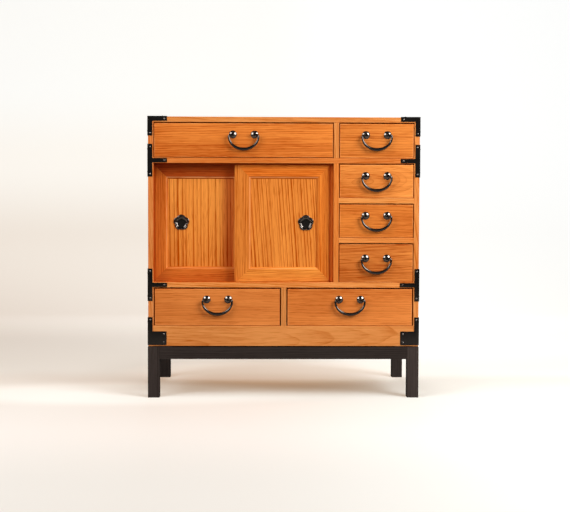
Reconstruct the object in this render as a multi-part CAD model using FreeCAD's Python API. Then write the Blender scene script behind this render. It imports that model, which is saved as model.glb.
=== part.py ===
import FreeCAD, Part
import math
import os

from FreeCAD import Matrix, Placement, Rotation, Vector

# A small tansu chest on a low stand: seven drawers, two sliding doors and black iron fittings.
# Millimetres. The front faces -Y, +X is to the right and +Z is up.
# The origin lies on the floor, under the middle of the object's box.

# Carcass boards
carcass_width = 600.0
carcass_depth = 330.0
carcass_height = 507.0
board = 12.0
apron_thickness = 12.0
back_thickness = 6.0
back_rabbet = 6.0
top_lap = 6.0
housing = 3.0
housing_stop = 15.0
edge_round = 0.8

# The board under the lowest drawers, the width of the right-hand bay, and how the rest of
# the height is shared out between the rows of drawers
apron_height = 45.0
right_bay = 166.5
top_share = 78.0
right_upper_share = 76.0
right_middle_share = 76.0
right_lower_share = 87.0
bottom_share = 85.0

# Stand
stand_height = 113.0
stand_overhang = 1.0
leg_width = 25.5
leg_round = 1.0
rail_height = 27.0
rail_thickness = 20.0
tenon_length = 7.0
tenon_thickness = 8.0
tenon_shoulder = 4.5
pad_thickness = 2.0
pad_length = 52.0
pad_width = 10.0

# Drawers. The lowest two fit more loosely, and a front stands a little clear of the board under it
drawer_recess = 1.0
drawer_side_gap = 1.4
drawer_top_gap = 2.0
bottom_side_gap = 2.2
bottom_top_gap = 2.6
front_lift = 0.4
wide_front_lift = 1.1
drawer_back_gap = 2.0
drawer_front_thickness = 15.0
drawer_lap = 7.0
drawer_side_thickness = 8.0
drawer_back_thickness = 8.0
drawer_bottom_thickness = 5.0
drawer_side_drop = 2.0
drawer_back_drop = 5.0
drawer_front_round = 1.2

# Bail handles, with the height of each pair of posts below the top of its opening
handle_drop = 27.0
right_lower_handle_drop = 33.5
bottom_handle_drop = 26.5
post_spacing = 48.0
post_radius = 3.5
post_reach = 11.0
post_tip_round = 2.2
shank_radius = 2.2
shank_end = 1.0
rosette_radius = 8.8
rosette_height = 4.0
rosette_shoulder = 4.2
nut_height = 3.2
nut_across_flats = 8.0
hole_clearance = 0.1
pivot_height = 7.4
pin_radius = 1.7
pin_clearance = 0.05
pin_past_axis = 2.8
bail_bend = 4.9
bail_start_gap = 0.3
bail_drop = 32.2
bail_neck_width = 4.4
bail_neck_depth = 4.2
bail_belly_width = 6.8
bail_belly_depth = 5.0
bail_stations = 12

# Sliding doors: mitred frames round thin panels, with tongues that run in grooves
door_overlap = 32.6
door_thickness = 18.0
door_recess = 14.0
door_spacing = 3.0
door_lip = 8.0
front_door_end_gap = 0.3
rear_door_end_gap = 0.8
frame_member = 37.0
mould_width = 5.5
mould_depth = 5.0
panel_thickness = 6.0
panel_groove = 6.0
panel_shrink_gap = 0.5
tongue_setback = 5.0
tongue_thickness = 7.0
track_clearance = 0.4
lower_groove = 4.0
upper_groove = 7.5
upper_engagement = 3.0
shoulder_gap = 0.6

# Plum-blossom finger pulls
petals = 5
petal_circle = 8.0
petal_radius = 9.8
pull_rim = 3.6
pull_rim_height = 2.0
pull_rim_round = 0.9
pull_depth = 6.5
pull_taper = 1.4
pull_wall = 1.0
pull_hole_clearance = 0.2
front_pull_inset = 23.0
rear_pull_inset = 29.0

# Iron brackets and their nails
iron = 1.2
strap = 9.6
corner_arm = 42.0
tee_height = 72.0
foot_block_width = 40.5
foot_block_height = 30.5
foot_strap_height = 62.0
foot_margin = 2.2
nail_end = 6.0
nail_stagger = 4.5
nail_head_radius = 2.2
nail_head_height = 1.1
nail_radius = 0.9
nail_length = 8.0
nail_clearance = 0.05

# Levels and planes that follow from the sizes above
level_boards = 5
all_shares = top_share + right_upper_share + right_middle_share + right_lower_share + bottom_share
share = (carcass_height - apron_height - level_boards * board) / all_shares
top_opening = top_share * share
right_upper_opening = right_upper_share * share
right_middle_opening = right_middle_share * share
right_lower_opening = right_lower_share * share
bottom_opening = bottom_share * share
left = -carcass_width / 2
right = carcass_width / 2
left_in = left + board
right_in = right - board
divider_right = right_in - right_bay
divider_left = divider_right - board
handle_reach = post_reach - drawer_recess
front = (handle_reach - carcass_depth - stand_overhang) / 2
back = front + carcass_depth
inner_back = back - back_thickness
base = stand_height + pad_thickness
apron_top = base + apron_height
lower_shelf_z = apron_top + bottom_opening
lower_shelf_top = lower_shelf_z + board
right_shelf_lower_z = lower_shelf_top + right_lower_opening
right_shelf_upper_z = right_shelf_lower_z + board + right_middle_opening
upper_shelf_z = right_shelf_upper_z + board + right_upper_opening
upper_shelf_top = upper_shelf_z + board
top_z = upper_shelf_top + top_opening
crown = top_z + board
drawer_face = front + drawer_recess
door_bay = divider_left - left_in - door_lip - front_door_end_gap - rear_door_end_gap
door_face_width = (door_bay + door_overlap) / 2

same = 1e-6
X = Vector(1, 0, 0)
Y = Vector(0, 1, 0)
Z = Vector(0, 0, 1)


def block(x, y, z):
    """A box between two values along each axis."""
    return Part.makeBox(x[1] - x[0], y[1] - y[0], z[1] - z[0], Vector(x[0], y[0], z[0]))


def joined(shapes):
    """One solid out of overlapping or touching shapes."""
    return shapes[0].fuse(shapes[1:]).removeSplitter()


def on_plane_y(edge, y):
    """Whether a straight edge lies in the upright plane at y."""
    return all(abs(vertex.Y - y) < same for vertex in edge.Vertexes)


def runs_along(edge, axis):
    """Whether a straight edge is parallel to an axis."""
    start, end = edge.Vertexes[0].Point, edge.Vertexes[-1].Point
    return end.sub(start).cross(axis).Length < same


def ease_front(shape, axis):
    """Rounds the edges of a carcass board's front that run along an axis."""
    edges = [edge for edge in shape.Edges if on_plane_y(edge, front) and runs_along(edge, axis)]
    return shape.makeFillet(edge_round, edges)


def drill(radius, start, direction, length):
    """A round cutter."""
    return Part.makeCylinder(radius, length, start, direction)


def mirrored(shape):
    """The same shape on the other side of the chest."""
    return shape.mirror(Vector(0, 0, 0), X)


# Carcass

def level_board(x, z):
    """A shelf whose ends are let into the boards beside it, behind a plain front."""
    plain = block(x, (front, inner_back), z)
    let_in = block((x[0] - housing, x[1] + housing), (front + housing_stop, inner_back), z)
    return joined([plain, let_in])


def upright_board(x, z):
    """A partition whose ends are let into the boards above and below, behind a plain front."""
    plain = block(x, (front, inner_back), z)
    let_in = block(x, (front + housing_stop, inner_back), (z[0] - housing, z[1] + housing))
    return joined([plain, let_in])


def front_apron():
    """The board under the lowest drawers, with a tongue at each end."""
    rear_half = (front + apron_thickness / 2, front + apron_thickness)
    face = block((left_in, right_in), (front, front + apron_thickness), (base, apron_top))
    tongues = block((left_in - housing, right_in + housing), rear_half, (base, apron_top))
    return joined([face, tongues])


def track_groove(door_front, z):
    """The groove that a door's tongue runs in."""
    near = door_front + tongue_setback - track_clearance
    far = door_front + tongue_setback + tongue_thickness + track_clearance
    return block((left_in, divider_left), (near, far), z)


def carcass_boards():
    """Every board of the chest's box, by node."""
    bay = (left_in, right_in)
    upper_shelf = level_board(bay, (upper_shelf_z, upper_shelf_top))
    lower_shelf = level_board(bay, (lower_shelf_z, lower_shelf_top))
    bottom = block((left_in - housing, right_in + housing), (front + apron_thickness, inner_back),
                   (apron_top - board, apron_top))
    right_bay_x = (divider_right, right_in)
    shelf_upper = level_board(right_bay_x, (right_shelf_upper_z, right_shelf_upper_z + board))
    shelf_lower = level_board(right_bay_x, (right_shelf_lower_z, right_shelf_lower_z + board))
    divider_x = (divider_left, divider_right)
    upper_partition = upright_board(divider_x, (upper_shelf_top, top_z))
    middle_partition = upright_board(divider_x, (lower_shelf_top, upper_shelf_z))
    lower_partition = upright_board((-board / 2, board / 2), (apron_top, lower_shelf_z))
    apron = front_apron()
    back_panel = block((left_in - back_rabbet, right_in + back_rabbet), (inner_back, back),
                       (base, top_z + back_rabbet))
    side_z = (base, top_z + top_lap)
    left_side = block((left, left_in), (front, back), side_z)
    right_side = block((right_in, right), (front, back), side_z)
    top = block((left, right), (front, back), (top_z, crown))

    lower_track = (lower_shelf_top - lower_groove, lower_shelf_top)
    upper_track = (upper_shelf_z, upper_shelf_z + upper_groove)
    lower_grooves = [track_groove(y, lower_track) for y in door_fronts()]
    upper_grooves = [track_groove(y, upper_track) for y in door_fronts()]
    housed = [upper_shelf, lower_shelf, bottom, apron, back_panel]
    return {
        "top_panel": ease_front(top.cut([left_side, right_side, back_panel, upper_partition]), X),
        "left_side_panel": ease_front(left_side.cut(housed), Z),
        "right_side_panel": ease_front(right_side.cut(housed + [shelf_upper, shelf_lower]), Z),
        "upper_shelf": ease_front(
            upper_shelf.cut([upper_partition, middle_partition] + upper_grooves), X),
        "lower_shelf": ease_front(
            lower_shelf.cut([middle_partition, lower_partition] + lower_grooves), X),
        "right_shelf_upper": ease_front(shelf_upper, X),
        "right_shelf_lower": ease_front(shelf_lower, X),
        "upper_partition": ease_front(upper_partition, Z),
        "middle_partition": ease_front(middle_partition.cut([shelf_upper, shelf_lower]), Z),
        "lower_partition": ease_front(lower_partition, Z),
        "front_apron": ease_front(apron.cut(lower_partition), X),
        "bottom_panel": bottom.cut(lower_partition),
        "back_panel": back_panel,
    }


# Stand

def stand_leg(x, y):
    """A square leg with its upright edges eased."""
    leg = block(x, y, (0, stand_height))
    return leg.makeFillet(leg_round, [edge for edge in leg.Edges if runs_along(edge, Z)])


def stand_parts():
    """Four legs, with four rails tenoned between them flush with their outer faces."""
    x0, x1 = left - stand_overhang, right + stand_overhang
    y0, y1 = front - stand_overhang, back + stand_overhang
    leg_x = {"left": (x0, x0 + leg_width), "right": (x1 - leg_width, x1)}
    leg_y = {"front": (y0, y0 + leg_width), "rear": (y1 - leg_width, y1)}
    rail_z = (stand_height - rail_height, stand_height)
    tenon_z = (rail_z[0] + tenon_shoulder, rail_z[1] - tenon_shoulder)
    span_x = (x0 + leg_width, x1 - leg_width)
    span_y = (y0 + leg_width, y1 - leg_width)
    half_tenon = tenon_thickness / 2
    parts = {}
    for name, y in (("front", (y0, y0 + rail_thickness)), ("rear", (y1 - rail_thickness, y1))):
        middle = sum(leg_y[name]) / 2
        tenons = block((span_x[0] - tenon_length, span_x[1] + tenon_length),
                       (middle - half_tenon, middle + half_tenon), tenon_z)
        parts[f"stand_{name}_rail"] = joined([block(span_x, y, rail_z), tenons])
    for name, x in (("left", (x0, x0 + rail_thickness)), ("right", (x1 - rail_thickness, x1))):
        middle = sum(leg_x[name]) / 2
        tenons = block((middle - half_tenon, middle + half_tenon),
                       (span_y[0] - tenon_length, span_y[1] + tenon_length), tenon_z)
        parts[f"stand_{name}_rail"] = joined([block(x, span_y, rail_z), tenons])
    rails = list(parts.values())
    for end, y in leg_y.items():
        for side, x in leg_x.items():
            parts[f"stand_{end}_{side}_leg"] = stand_leg(x, y).cut(rails)
    return parts


def stand_pads():
    """A thin packing strip under each corner of the carcass."""
    pads = []
    for y in ((front, front + pad_width), (back - pad_width, back)):
        for x in ((left, left + pad_length), (right - pad_length, right)):
            pads.append(block(x, y, (stand_height, base)))
    return pads


# Drawers and their bail handles

def drawer_table():
    """Each drawer's opening, its side and top gaps with the lift of its front, and its handle's drop."""
    wide = (left_in, divider_left)
    narrow = (divider_right, right_in)
    top_z_range = (upper_shelf_top, top_z)
    bottom_z_range = (apron_top, lower_shelf_z)
    upper_z_range = (right_shelf_upper_z + board, upper_shelf_z)
    middle_z_range = (right_shelf_lower_z + board, right_shelf_upper_z)
    lower_z_range = (lower_shelf_top, right_shelf_lower_z)
    wide_fit = (drawer_side_gap, drawer_top_gap, wide_front_lift)
    fit = (drawer_side_gap, drawer_top_gap, front_lift)
    loose_fit = (bottom_side_gap, bottom_top_gap, front_lift)
    return {
        "top_left": (wide, top_z_range, wide_fit, handle_drop),
        "top_right": (narrow, top_z_range, fit, handle_drop),
        "right_upper": (narrow, upper_z_range, fit, handle_drop),
        "right_middle": (narrow, middle_z_range, fit, handle_drop),
        "right_lower": (narrow, lower_z_range, fit, right_lower_handle_drop),
        "bottom_left": ((left_in, -board / 2), bottom_z_range, loose_fit, bottom_handle_drop),
        "bottom_right": ((board / 2, right_in), bottom_z_range, loose_fit, bottom_handle_drop),
    }


def drawer_front(x, z, lift, posts):
    """A front with rabbets behind its ends and lower edge, bored for the two handle posts."""
    inner_face = drawer_face + drawer_front_thickness
    rabbet_y = (drawer_face + drawer_lap, inner_face)
    slab = block(x, (drawer_face, inner_face), (z[0] + lift, z[1]))
    cutters = [
        block((x[0], x[0] + drawer_side_thickness), rabbet_y, z),
        block((x[1] - drawer_side_thickness, x[1]), rabbet_y, z),
        block(x, rabbet_y, (z[0], z[0] + drawer_bottom_thickness)),
    ]
    cutters += [drill(shank_radius + hole_clearance, post, Y, drawer_front_thickness) for post in posts]
    slab = slab.makeFillet(drawer_front_round,
                           [edge for edge in slab.Edges if on_plane_y(edge, drawer_face)])
    return slab.cut(cutters)


def drawer_box(x, z):
    """Two sides and a back standing on a bottom board."""
    length = (drawer_face + drawer_lap, inner_back - drawer_back_gap)
    wall_z = (z[0] + drawer_bottom_thickness, z[1] - drawer_side_drop)
    between = (x[0] + drawer_side_thickness, x[1] - drawer_side_thickness)
    return [
        block((x[0], between[0]), length, wall_z),
        block((between[1], x[1]), length, wall_z),
        block(between, (length[1] - drawer_back_thickness, length[1]), (wall_z[0], z[1] - drawer_back_drop)),
        block(x, length, (z[0], wall_z[0])),
    ]


def rosette():
    """A domed washer round the post, built along +Z on the plane of the wood."""
    bore = shank_radius + hole_clearance
    side = rosette_radius - rosette_shoulder
    slope = math.radians(45)
    crest = Vector(rosette_shoulder + side * math.sin(slope), 0, rosette_height * math.cos(slope))
    rim = Vector(rosette_radius, 0, 0)
    shoulder = Vector(rosette_shoulder, 0, rosette_height)
    top_in = Vector(bore, 0, rosette_height)
    bottom_in = Vector(bore, 0, 0)
    outline = [
        Part.LineSegment(bottom_in, rim).toShape(),
        Part.Arc(rim, crest, shoulder).toShape(),
        Part.LineSegment(shoulder, top_in).toShape(),
        Part.LineSegment(top_in, bottom_in).toShape(),
    ]
    return Part.Face(Part.Wire(outline)).revolve(Vector(0, 0, 0), Z, 360)


def handle_post():
    """A round-ended post on a shank, cross-bored for the bail's pin, built along +Z from the wood."""
    shank_length = drawer_front_thickness + nut_height + shank_end
    body = Part.makeCylinder(post_radius, post_reach - rosette_height, Vector(0, 0, rosette_height))
    tip = [edge for edge in body.Edges if abs(edge.CenterOfMass.z - post_reach) < same and edge.isClosed()]
    body = body.makeFillet(post_tip_round, tip)
    shank = Part.makeCylinder(shank_radius, shank_length + rosette_height, Vector(0, 0, -shank_length))
    cross_bore = drill(pin_radius + pin_clearance, Vector(-post_radius, 0, pivot_height), X, 2 * post_radius)
    return body.fuse(shank).cut(cross_bore)


def handle_nut():
    """The six-sided nut inside the drawer, built along +Z from the wood's outer face."""
    corner = nut_across_flats / 2 / math.cos(math.radians(30))
    turns = [math.radians(60 * i) for i in range(7)]
    start = -drawer_front_thickness - nut_height
    hexagon = Part.makePolygon([Vector(corner * math.cos(t), corner * math.sin(t), start) for t in turns])
    prism = Part.Face(hexagon).extrude(Z * nut_height)
    return prism.cut(drill(shank_radius + hole_clearance, Vector(0, 0, start), Z, nut_height))


def bail_section(x, z, slant, width, depth):
    """An oval section of the bail at a point of its middle line, square to a slant in the XZ plane."""
    ring = Part.Wire(Part.Circle(Vector(0, 0, 0), Z, 1.0).toShape())
    grow = Matrix()
    grow.scale(depth / 2, width / 2, 1.0)
    ring = ring.transformGeometry(grow)
    along = Vector(math.cos(slant), 0, math.sin(slant))
    across = Vector(-math.sin(slant), 0, math.cos(slant))
    frame = Matrix(Y.x, across.x, along.x, x, Y.y, across.y, along.y, 0,
                   Y.z, across.z, along.z, z, 0, 0, 0, 1)
    return ring.transformGeometry(frame)


def bail():
    """A drop bail about its hinge axis: two pins, and a crescent that swells towards its belly."""
    bend_start = post_spacing / 2 + post_radius + bail_start_gap
    half_width = bend_start + bail_bend
    belly = bail_drop - bail_bend
    pin = 2 * pin_radius
    stations = []
    for i in range(5):
        turn = math.radians(90) * i / 4
        swell = i / 4
        stations.append((bend_start + bail_bend * math.sin(turn), bail_bend * (math.cos(turn) - 1), -turn,
                         pin + (bail_neck_width - pin) * swell, pin + (bail_neck_depth - pin) * swell))
    for i in range(1, bail_stations + 1):
        turn = math.radians(90) * i / bail_stations
        swell = math.sin(turn)
        slant = math.atan2(-belly * math.cos(turn), -half_width * math.sin(turn))
        stations.append((half_width * math.cos(turn), -bail_bend - belly * math.sin(turn), slant,
                         bail_neck_width + (bail_belly_width - bail_neck_width) * swell,
                         bail_neck_depth + (bail_belly_depth - bail_neck_depth) * swell))
    other_half = [(-x, z, -slant, width, depth) for x, z, slant, width, depth in reversed(stations[:-1])]
    wires = [bail_section(*station) for station in stations + other_half]
    crescent = Part.makeLoft(wires, True)
    pin_end = post_spacing / 2 - pin_past_axis
    pins = [Part.makeCylinder(pin_radius, bend_start - pin_end, Vector(side * pin_end, 0, 0), X * side)
            for side in (-1, 1)]
    return crescent.fuse(pins)


def drawer_parts():
    """Front, box, handle posts and bail of each drawer, by node."""
    outwards = Rotation(Z, Y * -1)
    fittings = [rosette(), handle_post(), handle_nut()]
    loose_bail = bail()
    parts = {}
    for name, (opening_x, opening_z, (side_gap, top_gap, lift), drop) in drawer_table().items():
        x = (opening_x[0] + side_gap, opening_x[1] - side_gap)
        z = (opening_z[0], opening_z[1] - top_gap)
        middle = Vector(sum(x) / 2, drawer_face, opening_z[1] - drop)
        posts = [middle + X * (side * post_spacing / 2) for side in (-1, 1)]
        parts[f"{name}_drawer_front"] = drawer_front(x, z, lift, posts)
        parts[f"{name}_drawer_box"] = drawer_box(x, z)
        spots = [Placement(post, outwards).toMatrix() for post in posts]
        parts[f"{name}_handle_posts"] = [piece.transformed(spot) for spot in spots for piece in fittings]
        parts[f"{name}_handle_bail"] = loose_bail.translated(middle - Y * pivot_height)
    return parts


# Sliding doors

def door_fronts():
    """Where the faces of the front and the rear door lie."""
    near = front + door_recess
    return near, near + door_thickness + door_spacing


def member_bar(length):
    """A frame member before mitring: along +X, outer edge at z 0, moulded and grooved inner edge."""
    inner = frame_member
    groove_floor = inner - panel_groove
    groove_back = mould_depth + panel_thickness
    outline = [(0, 0), (0, inner - mould_width), (mould_depth, inner), (mould_depth, groove_floor),
               (groove_back, groove_floor), (groove_back, inner), (door_thickness, inner),
               (door_thickness, 0), (0, 0)]
    wire = Part.makePolygon([Vector(0, y, z) for y, z in outline])
    return Part.Face(wire).extrude(X * length)


def mitred(length):
    """A frame member with its ends cut at 45 degrees."""
    inner = frame_member
    corners = [(0, 0), (length, 0), (length - inner, inner), (inner, inner), (0, 0)]
    wire = Part.makePolygon([Vector(x, 0, z) for x, z in corners])
    return member_bar(length).common(Part.Face(wire).extrude(Y * door_thickness))


def door_frame(face_y, outer_sign, outer_edge, has_lip):
    """Four mitred members, tongued above and below; outer_sign points to the stile that meets the chest."""
    width = door_face_width + door_lip
    low = lower_shelf_top - lower_groove
    height = upper_shelf_z + upper_engagement - low
    turns = ((0, width, 0, 0), (90, height, width, 0), (180, width, width, height), (270, height, 0, height))
    members = []
    for angle, length, x, z in turns:
        place = Placement(Vector(x, 0, z), Rotation(Y * -1, angle))
        members.append(mitred(length).transformed(place.toMatrix()))
    face_end = width - door_lip
    tongue = (tongue_setback, tongue_setback + tongue_thickness)
    whole_y = (0, door_thickness)
    in_front = (0, tongue[0])
    behind = (tongue[1], door_thickness)
    floor_line = (0, lower_groove + shoulder_gap)
    head_line = (height - upper_engagement - shoulder_gap, height)
    cutters = [block((0, width), y, z) for y in (in_front, behind) for z in (floor_line, head_line)]
    cutters += [block((face_end, width), whole_y, z) for z in (floor_line, head_line)]
    if has_lip:
        cutters += [block((face_end, width), y, (0, height)) for y in (in_front, behind)]
    else:
        cutters += [block((face_end, width), whole_y, (0, height))]
    members = [member.cut(cutters) for member in members]
    if outer_sign < 0:
        members = [mirrored(member) for member in members]
    shift = Vector(outer_edge - outer_sign * face_end, face_y, low)
    return [member.translated(shift) for member in members]


def petal_places(x, z):
    """The middles of the petals, the first one upright."""
    for i in range(petals):
        turn = math.radians(90 + 360 * i / petals)
        yield x + petal_circle * math.cos(turn), z + petal_circle * math.sin(turn)


def blossom(x, z, y, inset, taper=0.0):
    """A five-petalled prism between two depths, drawn in from the outline and tapering to the rear."""
    depth = y[1] - y[0]
    petal = petal_radius - inset
    cores = [Part.makeCylinder(petal_circle, depth, Vector(x, y[0], z), Y)]
    for petal_x, petal_z in petal_places(x, z):
        base_point = Vector(petal_x, y[0], petal_z)
        if taper:
            cores.append(Part.makeCone(petal, petal - taper, depth, base_point, Y))
        else:
            cores.append(Part.makeCylinder(petal, depth, base_point, Y))
    return joined(cores)


def finger_pull(x, z, panel_y):
    """A raised blossom rim with a tapering cup that sinks through the panel."""
    rim_y = panel_y - pull_rim_height
    cup_end = panel_y + pull_depth
    rim = blossom(x, z, (rim_y, panel_y), 0.0)
    rim = rim.makeFillet(pull_rim_round, [edge for edge in rim.Edges if on_plane_y(edge, rim_y)])
    cup = blossom(x, z, (panel_y, cup_end + pull_wall), pull_rim - pull_wall)
    hollow = blossom(x, z, (rim_y, cup_end), pull_rim, pull_taper)
    return rim.fuse(cup).cut(hollow)


def door_panel(x, panel_y, pull_x, pull_z):
    """The thin panel in the frame's groove, pierced for the finger pull's cup."""
    reach = panel_groove - panel_shrink_gap
    low = lower_shelf_top - lower_groove + frame_member - reach
    high = upper_shelf_z + upper_engagement - frame_member + reach
    y = (panel_y, panel_y + panel_thickness)
    panel = block((x[0] - reach, x[1] + reach), y, (low, high))
    return panel.cut(blossom(pull_x, pull_z, y, pull_rim - pull_wall - pull_hole_clearance))


def door_parts():
    """Frame, panel and finger pull of each sliding door, by node."""
    pull_z = (lower_shelf_top + upper_shelf_z) / 2
    visible_stile = frame_member - door_lip
    front_y, rear_y = door_fronts()
    front_edge = divider_left - front_door_end_gap - door_lip
    rear_edge = left_in + rear_door_end_gap
    front_light = (front_edge - door_face_width + frame_member, front_edge - visible_stile)
    rear_light = (rear_edge + visible_stile, rear_edge + door_face_width - frame_member)
    front_pull_x = front_light[1] - front_pull_inset
    rear_pull_x = rear_light[0] + rear_pull_inset
    return {
        "front_door_frame": door_frame(front_y, 1, front_edge, True),
        "front_door_panel": door_panel(front_light, front_y + mould_depth, front_pull_x, pull_z),
        "front_door_pull": finger_pull(front_pull_x, pull_z, front_y + mould_depth),
        "rear_door_frame": door_frame(rear_y, -1, rear_edge, False),
        "rear_door_panel": door_panel(rear_light, rear_y + mould_depth, rear_pull_x, pull_z),
        "rear_door_pull": finger_pull(rear_pull_x, pull_z, rear_y + mould_depth),
    }


# Iron brackets at the left corner of the front, and their nails

def folded(areas):
    """Iron folded round the front left corner: each area is a reach from the corner and a height range."""
    leaves = []
    for reach, z in areas:
        leaves.append(block((left - iron, left + reach), (front - iron, front), z))
        leaves.append(block((left - iron, left), (front - iron, front + reach), z))
    return leaves


def front_nail_places(spots):
    """Nail heads on the front and side leaves; upright ones are staggered so that the nails don't meet."""
    for reach, z, stagger in spots:
        yield Vector(left + reach, front - iron, z), Y * -1
        yield Vector(left - iron, front + reach, z + stagger), X * -1


def top_corner():
    """A three-way corner iron, with its nails."""
    strap_z = (crown - strap, crown)
    leaves = folded([(strap, (crown - corner_arm, crown)), (corner_arm, strap_z)])
    over = (crown, crown + iron)
    leaves.append(block((left - iron, left + corner_arm), (front - iron, front + strap), over))
    leaves.append(block((left - iron, left + strap), (front - iron, front + corner_arm), over))
    reach = corner_arm - nail_end
    nails = list(front_nail_places([
        (strap / 2, crown - reach, nail_stagger),
        (reach, crown - strap / 2, 0.0),
    ]))
    nails.append((Vector(left + reach - nail_stagger, front + strap / 2, crown + iron), Z))
    nails.append((Vector(left + strap / 2, front + reach - nail_stagger, crown + iron), Z))
    return joined(leaves), nails


def tee(middle):
    """A tee iron centred on the front edge of a shelf, with its nails."""
    half = tee_height / 2
    leaves = folded([(strap, (middle - half, middle + half)),
                     (corner_arm, (middle - strap / 2, middle + strap / 2))])
    end = half - nail_end
    nails = list(front_nail_places([
        (strap / 2, middle + end, -nail_stagger),
        (strap / 2, middle - end, nail_stagger),
        (corner_arm - nail_end, middle, 0.0),
    ]))
    return joined(leaves), nails


def bottom_corner():
    """A block with a strap rising from it, with its nails."""
    low = base + foot_margin
    strap_top = low + foot_strap_height
    block_top = low + foot_block_height
    leaves = folded([(strap, (low, strap_top)), (foot_block_width, (low, block_top))])
    reach = foot_block_width - nail_end
    nails = list(front_nail_places([
        (strap / 2, strap_top - nail_end, -nail_stagger),
        (reach, block_top - nail_end, 0.0),
        (reach, low + nail_end, 0.0),
    ]))
    return joined(leaves), nails


def nail():
    """A round-headed nail along +Z, with its head on the plane of the iron."""
    ball = (nail_head_radius ** 2 + nail_head_height ** 2) / (2 * nail_head_height)
    dome = Part.makeSphere(ball, Vector(0, 0, nail_head_height - ball))
    head = dome.common(drill(nail_head_radius, Vector(0, 0, 0), Z, nail_head_height))
    shank = Part.makeCylinder(nail_radius, iron + nail_length, Vector(0, 0, -iron - nail_length))
    return joined([head, shank])


def bracket_parts():
    """The irons on both corners, their nails, and the holes that the nails leave."""
    groups = {
        "top_corner_brackets": [top_corner()],
        "tee_brackets": [tee(upper_shelf_z + board / 2), tee(lower_shelf_z + board / 2)],
        "bottom_corner_brackets": [bottom_corner()],
    }
    loose_nail = nail()
    nails = []
    holes = []
    for group in groups.values():
        for _, places in group:
            for spot, outwards in places:
                driven = Placement(spot, Rotation(Z, outwards)).toMatrix()
                length = iron + nail_length
                hole = drill(nail_radius + nail_clearance, spot, outwards * -1, length)
                left_nail = loose_nail.transformed(driven)
                nails += [left_nail, mirrored(left_nail)]
                holes += [hole, mirrored(hole)]
    parts = {"bracket_nails": nails}
    for name, group in groups.items():
        irons = [iron_shape.cut(holes) for iron_shape, _ in group]
        parts[name] = irons + [mirrored(iron_shape) for iron_shape in irons]
    return parts, holes


nailed_boards = ("top_panel", "left_side_panel", "right_side_panel", "upper_shelf", "lower_shelf",
                 "front_apron")


def chest():
    """Every node of the chest with its solid or solids."""
    irons, holes = bracket_parts()
    parts = carcass_boards()
    for name in nailed_boards:
        parts[name] = parts[name].cut(holes)
    parts.update(stand_parts())
    parts["stand_pads"] = stand_pads()
    parts.update(drawer_parts())
    parts.update(door_parts())
    parts.update(irons)
    return parts


def write_parts():
    """Writes one STEP file for each node."""
    os.makedirs("parts", exist_ok=True)
    for name, shape in chest().items():
        solids = shape if isinstance(shape, list) else [shape]
        Part.makeCompound(solids).exportStep(f"parts/{name}.step")
        print(f"{name}: {len(solids)} solids, {sum(solid.Volume for solid in solids) / 1000:.1f} cm3")


write_parts()
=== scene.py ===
# %% [markdown]
# # A small tansu chest
# The chest arrives as sixty solids that already sit in the right place and move on their joints.
# This lesson gives them their looks: oiled timber, a stained stand and black iron fittings. Where
# a solid is too plain, such as a door frame whose members need their own grain, a finer mesh takes
# its place.

# %% Load the chest
import math

import bmesh
import bpy
from bmesh.types import BMEdge, BMFace, BMVert
from mathutils import Matrix, Vector


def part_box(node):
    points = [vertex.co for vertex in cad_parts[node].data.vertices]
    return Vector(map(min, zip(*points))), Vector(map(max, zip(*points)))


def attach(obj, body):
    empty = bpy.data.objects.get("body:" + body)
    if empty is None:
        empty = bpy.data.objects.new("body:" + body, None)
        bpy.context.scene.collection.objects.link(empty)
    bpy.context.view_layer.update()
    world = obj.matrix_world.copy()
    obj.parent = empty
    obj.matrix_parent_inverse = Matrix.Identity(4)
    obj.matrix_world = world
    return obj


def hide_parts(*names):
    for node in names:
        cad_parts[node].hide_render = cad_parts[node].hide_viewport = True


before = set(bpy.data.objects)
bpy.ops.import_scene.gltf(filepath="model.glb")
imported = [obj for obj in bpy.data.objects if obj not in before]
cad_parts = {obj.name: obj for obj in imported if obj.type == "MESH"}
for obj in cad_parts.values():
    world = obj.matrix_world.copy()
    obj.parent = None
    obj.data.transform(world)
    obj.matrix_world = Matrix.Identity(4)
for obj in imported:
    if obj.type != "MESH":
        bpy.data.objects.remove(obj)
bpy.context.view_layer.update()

MM = 0.001
scene = bpy.context.scene

# %% [markdown]
# ## The camera
# The picture was taken from a little left of the chest's middle, at about the height of the doors,
# with a long lens. Lines that run straight on the real front gave the place, the turns and the
# lens.

# %% Camera
PHOTO_WIDTH, FOCAL_PIXELS, SENSOR = 570, 1170, 36
CAMERA_PLACE = (-0.048, -2.7485, 0.4297)
TURN, NOD, TILT, LEVEL = -1.12, -2.53, -0.18, 90


def turn(axis, degrees):
    """A turn about one axis."""
    return Matrix.Rotation(math.radians(degrees), 4, axis)


def add_object(name, data):
    """A new object in the scene."""
    made = bpy.data.objects.new(name, data)
    scene.collection.objects.link(made)
    return made


camera_data = bpy.data.cameras.new("photo_camera")
camera_data.sensor_width = SENSOR
camera_data.lens = FOCAL_PIXELS * SENSOR / PHOTO_WIDTH
camera = add_object("photo_camera", camera_data)
camera.matrix_world = (Matrix.Translation(CAMERA_PLACE) @ turn("Z", TURN) @ turn("X", NOD)
                       @ turn("Y", TILT) @ turn("X", LEVEL))
scene.camera = camera
print("lens:", round(camera_data.lens, 1), "mm")

# %% [markdown]
# ## Light
# Two softboxes stand in front of the chest, one to each side. Each leaves a bright spot on every
# domed rosette: low on the upper handles and high on the lower ones, so the lamps are near and a
# little above the chest. The right one is stronger. Two more, overhead and behind, light the floor
# without a bright spot and leave only the ground under the chest dark.

# %% Softboxes
LIGHT_AIM = Vector((0.0, -0.16, 0.36))


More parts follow.
